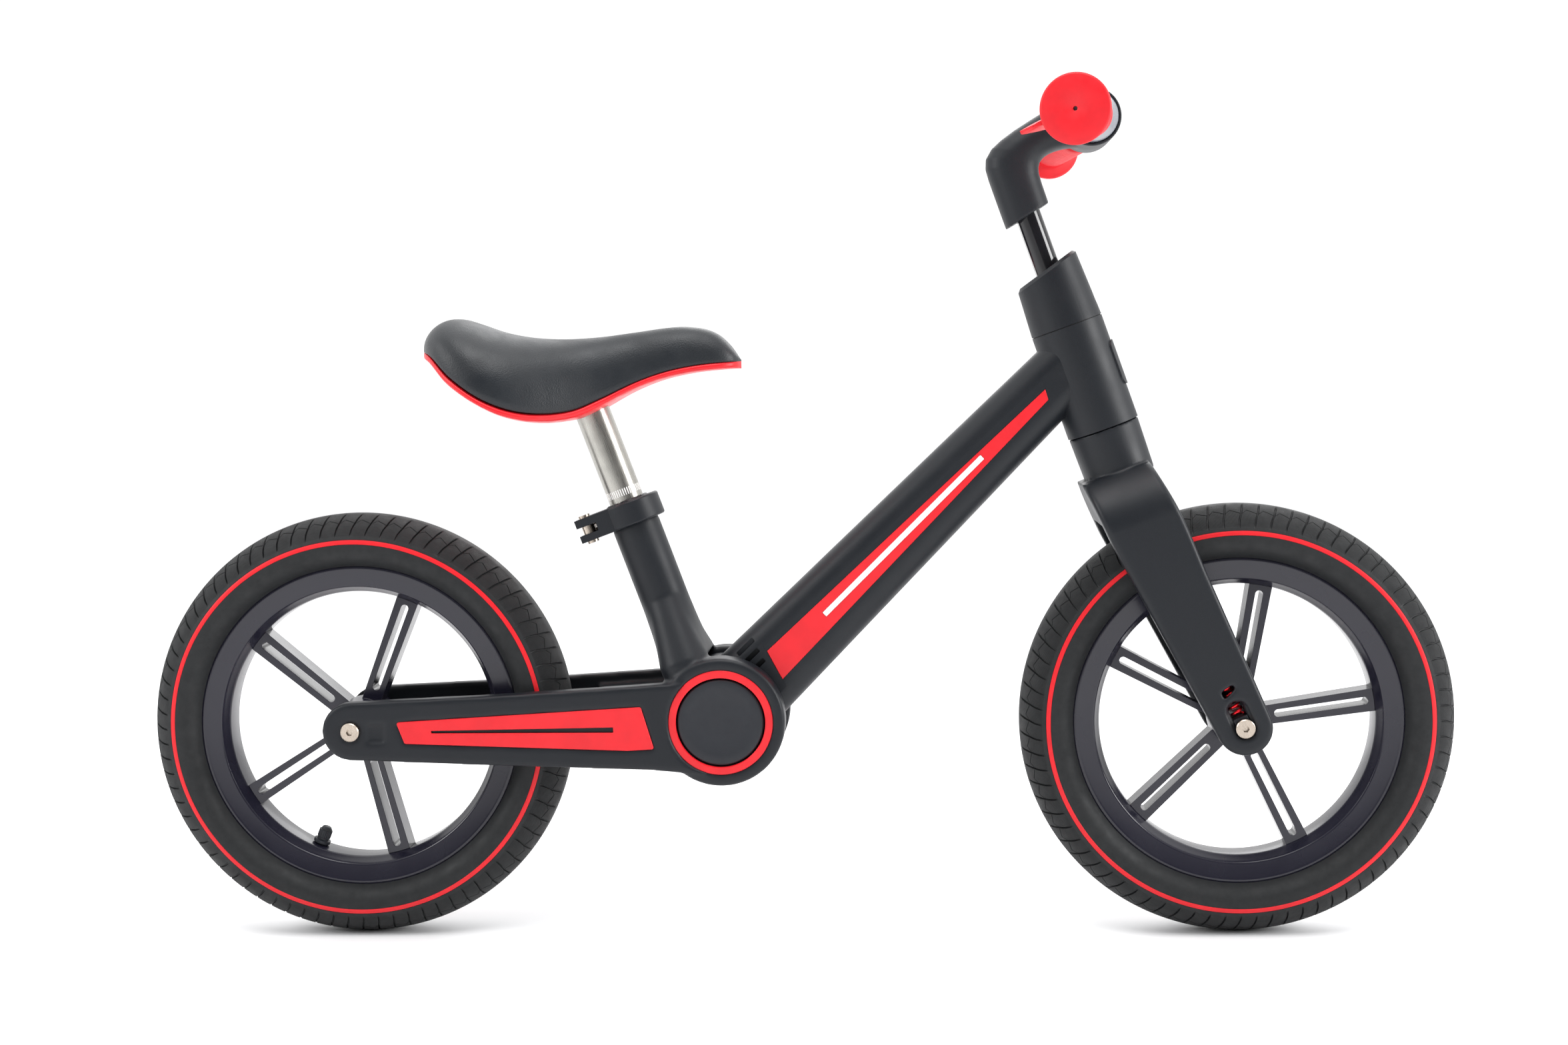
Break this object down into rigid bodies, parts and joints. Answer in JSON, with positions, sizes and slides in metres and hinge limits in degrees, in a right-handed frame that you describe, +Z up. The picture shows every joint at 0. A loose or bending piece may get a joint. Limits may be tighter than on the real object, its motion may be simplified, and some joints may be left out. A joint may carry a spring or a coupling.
{
  "type": "balance bike",
  "caption": "Folding children's balance bike with a round fold hub, sprung front fork, height-adjustable seat and handlebar, and moulded spoke wheels.",
  "frame": {"origin": "on the ground midway between the two wheels, on the bike's middle plane", "axes": "+X forward, +Y to the far (left) side, +Z up"},
  "size_m": [0.945, 0.2714, 0.6035],
  "materials": {
    "frame": "charcoal powder coat, fine grain",
    "red_plastic": "satin red moulding",
    "white_plastic": "satin white insert",
    "wheel": "glossy dark moulding",
    "tyre": "matt black rubber",
    "tyre_stripe": "red rubber",
    "tube_rubber": "black rubber",
    "bolt": "satin nickel",
    "steel": "turned steel",
    "spring_red": "red coated spring",
    "button": "fine matt black",
    "seat_post": "satin anodised",
    "saddle_cover": "fine grain leatherette",
    "stem_tube": "gloss black",
    "handlebar": "gloss dark grey",
    "grip": "soft red rubber",
    "clamp": "black anodised"
  },
  "bodies": {
    "rear_frame": {"rear_frame": "frame", "stay_inlay_near": "red_plastic", "stay_inlay_far": "red_plastic", "rear_axle": "steel", "rear_axle_bolts": "bolt", "hub_barrel": "steel", "hub_barrel_screws": "bolt", "thrust_washers": "steel", "hub_trim_ring_near": "red_plastic", "hub_trim_ring_far": "red_plastic", "button_spring_near": "steel", "button_spring_far": "steel", "seat_clamp": "clamp", "clamp_pin": "bolt", "swing_bolt": "bolt"},
    "rear_wheel": {"rear_rim": "wheel", "rear_spokes": "wheel", "rear_tyre": "tyre", "rear_tyre_stripe": "tyre_stripe", "rear_inner_tube": "tube_rubber", "rear_valve_cap": "button", "rear_wheel_bearings": "steel"},
    "clamp_lever": {"clamp_lever": "clamp"},
    "hub_button_near": {"hub_button_near": "button", "lock_ring_near": "steel"},
    "hub_button_far": {"hub_button_far": "button", "lock_ring_far": "steel"},
    "seat": {"seat_post": "seat_post", "saddle_shell": "red_plastic", "saddle_cover": "saddle_cover"},
    "front_frame": {"beam_connector": "frame", "main_beam": "frame", "beam_panel_near": "red_plastic", "beam_panel_far": "red_plastic", "beam_strip_near": "white_plastic", "beam_strip_far": "white_plastic", "head_shell": "frame", "headset_bearings": "steel", "head_badge": "frame"},
    "fork": {"fork": "frame", "steerer_tube": "steel", "head_cover": "frame", "head_cover_screw": "bolt", "fork_spring_near": "spring_red", "fork_spring_far": "spring_red"},
    "handlebar": {"stem_tube": "stem_tube", "stem": "frame", "handlebar": "handlebar", "grip_near": "grip", "grip_far": "grip"},
    "front_axle": {"slider_blocks": "button", "front_axle": "steel", "front_axle_bolts": "bolt"},
    "front_wheel": {"front_rim": "wheel", "front_spokes": "wheel", "front_tyre": "tyre", "front_tyre_stripe": "tyre_stripe", "front_inner_tube": "tube_rubber", "front_valve_cap": "button", "front_wheel_bearings": "steel"}
  },
  "joints": [
    {"name": "rear_wheel_spin", "type": "hinge", "parent": "rear_frame", "child": "rear_wheel", "pos_m": [-0.3175, 0, 0.155], "axis": [0, 1, 0], "continuous": true},
    {"name": "front_fold", "type": "hinge", "parent": "rear_frame", "child": "front_frame", "pos_m": [-0.051, 0, 0.16], "axis": [0, 1, 0], "range_deg": [0, 118]},
    {"name": "steering", "type": "hinge", "parent": "front_frame", "child": "fork", "pos_m": [0.224, 0, 0.365], "axis": [-0.3305, 0, 0.9438], "range_deg": [-45, 45]},
    {"name": "front_suspension", "type": "slide", "parent": "fork", "child": "front_axle", "axis": [-0.4067, 0, 0.9135], "range_m": [0, 0.01], "stiffness_N_per_m": 20000, "springref_m": -0.004, "deforming": ["fork_spring_near", "fork_spring_far"]},
    {"name": "front_wheel_spin", "type": "hinge", "parent": "front_axle", "child": "front_wheel", "pos_m": [0.3175, 0, 0.155], "axis": [0, 1, 0], "continuous": true},
    {"name": "handlebar_height", "type": "slide", "parent": "fork", "child": "handlebar", "axis": [-0.3305, 0, 0.9438], "range_m": [-0.025, 0.035]},
    {"name": "seat_height", "type": "slide", "parent": "rear_frame", "child": "seat", "axis": [-0.3437, 0, 0.9391], "range_m": [-0.018, 0.04]},
    {"name": "clamp_lever_swing", "type": "hinge", "parent": "rear_frame", "child": "clamp_lever", "pos_m": [-0.14679, 0.021, 0.29681], "axis": [-0.3437, 0, 0.9391], "range_deg": [0, 110]},
    {"name": "hub_button_near_press", "type": "slide", "parent": "rear_frame", "child": "hub_button_near", "axis": [0, 1, 0], "range_m": [0, 0.004], "stiffness_N_per_m": 1500, "springref_m": -0.003, "deforming": ["button_spring_near"]},
    {"name": "hub_button_far_press", "type": "slide", "parent": "rear_frame", "child": "hub_button_far", "axis": [0, -1, 0], "range_m": [0, 0.004], "stiffness_N_per_m": 1500, "springref_m": -0.003, "deforming": ["button_spring_far"]}
  ]
}
